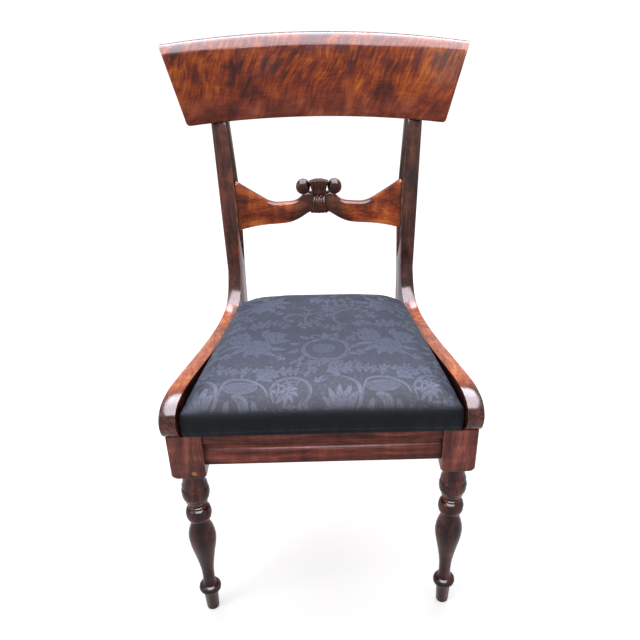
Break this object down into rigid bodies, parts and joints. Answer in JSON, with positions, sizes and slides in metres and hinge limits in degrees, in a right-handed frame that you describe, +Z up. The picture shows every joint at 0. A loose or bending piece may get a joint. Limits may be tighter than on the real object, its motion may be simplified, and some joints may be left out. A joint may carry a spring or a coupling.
{
  "type": "dining chair",
  "caption": "Dining chair with a curved flared crest rail, carved cross rail, sabre back legs, turned front legs and a drop-in upholstered seat",
  "frame": {"origin": "On the floor, under the middle of the chair's bounding box.", "axes": "+Z is up. The chair faces -Y. +X is on the right as seen from its front, and the X = 0 plane is the middle of the chair."},
  "size_m": [0.52, 0.552, 0.893],
  "materials": {
    "mahogany": "french-polished figured mahogany",
    "dark_mahogany": "dark polished mahogany, turned",
    "beech": "sawn unpolished beech",
    "peg_wood": "end grain of a light peg",
    "screw_steel": "dull steel",
    "jute": "woven jute webbing",
    "hessian": "open plain weave",
    "wadding": "pressed cotton wadding over hair",
    "damask": "black tone-on-tone woven damask"
  },
  "bodies": {
    "frame": {"crest_rail": "mahogany", "cross_rail": "mahogany", "right_back_post": "mahogany", "left_back_post": "mahogany", "right_side_rail": "mahogany", "left_side_rail": "mahogany", "front_rail": "mahogany", "back_rail": "mahogany", "right_leg_dowel": "beech", "left_leg_dowel": "beech", "right_front_leg": "dark_mahogany", "left_front_leg": "dark_mahogany", "left_leg_peg": "peg_wood", "right_front_block_screw_1": "screw_steel", "left_front_block_screw_1": "screw_steel", "right_front_block_screw_2": "screw_steel", "left_front_block_screw_2": "screw_steel", "right_front_corner_block": "beech", "left_front_corner_block": "beech", "right_back_block_screw_1": "screw_steel", "left_back_block_screw_1": "screw_steel", "right_back_block_screw_2": "screw_steel", "left_back_block_screw_2": "screw_steel", "right_back_corner_block": "beech", "left_back_corner_block": "beech"},
    "drop_in_seat": {"seat_frame_front": "beech", "seat_frame_back": "beech", "seat_frame_right": "beech", "seat_frame_left": "beech", "webbing_long_1": "jute", "webbing_long_2": "jute", "webbing_long_3": "jute", "webbing_cross_1": "jute", "webbing_cross_2": "jute", "webbing_cross_3": "jute", "hessian": "hessian", "seat_pad": "wadding", "seat_cover": "damask"}
  },
  "joints": [
    {"name": "seat_lift", "type": "slide", "parent": "frame", "child": "drop_in_seat", "axis": [0, 0, 1], "range_m": [0, 0.1]}
  ]
}
